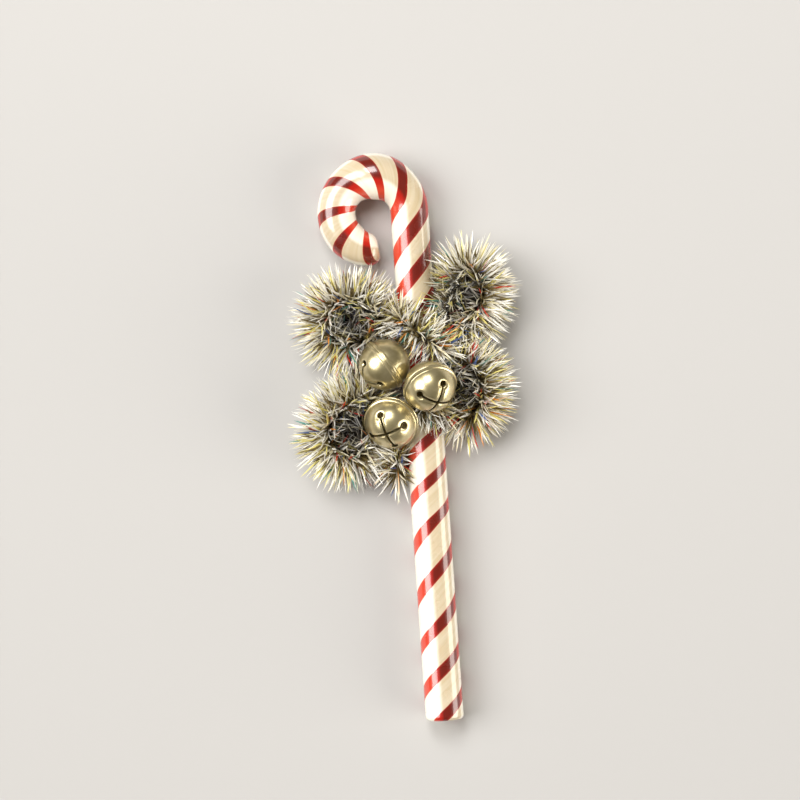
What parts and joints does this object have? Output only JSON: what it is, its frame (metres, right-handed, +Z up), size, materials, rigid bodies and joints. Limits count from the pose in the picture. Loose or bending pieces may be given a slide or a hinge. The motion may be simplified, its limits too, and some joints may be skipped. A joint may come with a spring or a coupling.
{
  "type": "candy cane",
  "caption": "Striped peppermint candy cane lying flat, dressed with a looped bow of tinsel garland and a cluster of slotted jingle bells.",
  "frame": {"origin": "middle of the underside of the whole part's box, on the surface it lies on", "axes": "+Y from the foot of the cane to its crook, +Z up from the surface it lies on, +X to the right as seen from above with the crook at the top"},
  "size_m": [0.0806, 0.199, 0.0318],
  "materials": {
    "candy": "glossy boiled sugar, cream white with red spiral stripes",
    "bell_metal": "satin champagne gold",
    "tinsel_foil": "bright crinkled foil strips, silver and pale gold"
  },
  "bodies": {
    "root": {"candy_cane": "candy", "bell_upper": "bell_metal", "bell_right": "bell_metal", "bell_lower": "bell_metal", "tinsel_upper_left": "tinsel_foil", "tinsel_lower_left": "tinsel_foil", "tinsel_upper_right": "tinsel_foil", "tinsel_lower_right": "tinsel_foil", "tinsel_over_upper": "tinsel_foil", "tinsel_over_lower": "tinsel_foil", "tinsel_tail": "tinsel_foil"}
  },
  "joints": []
}
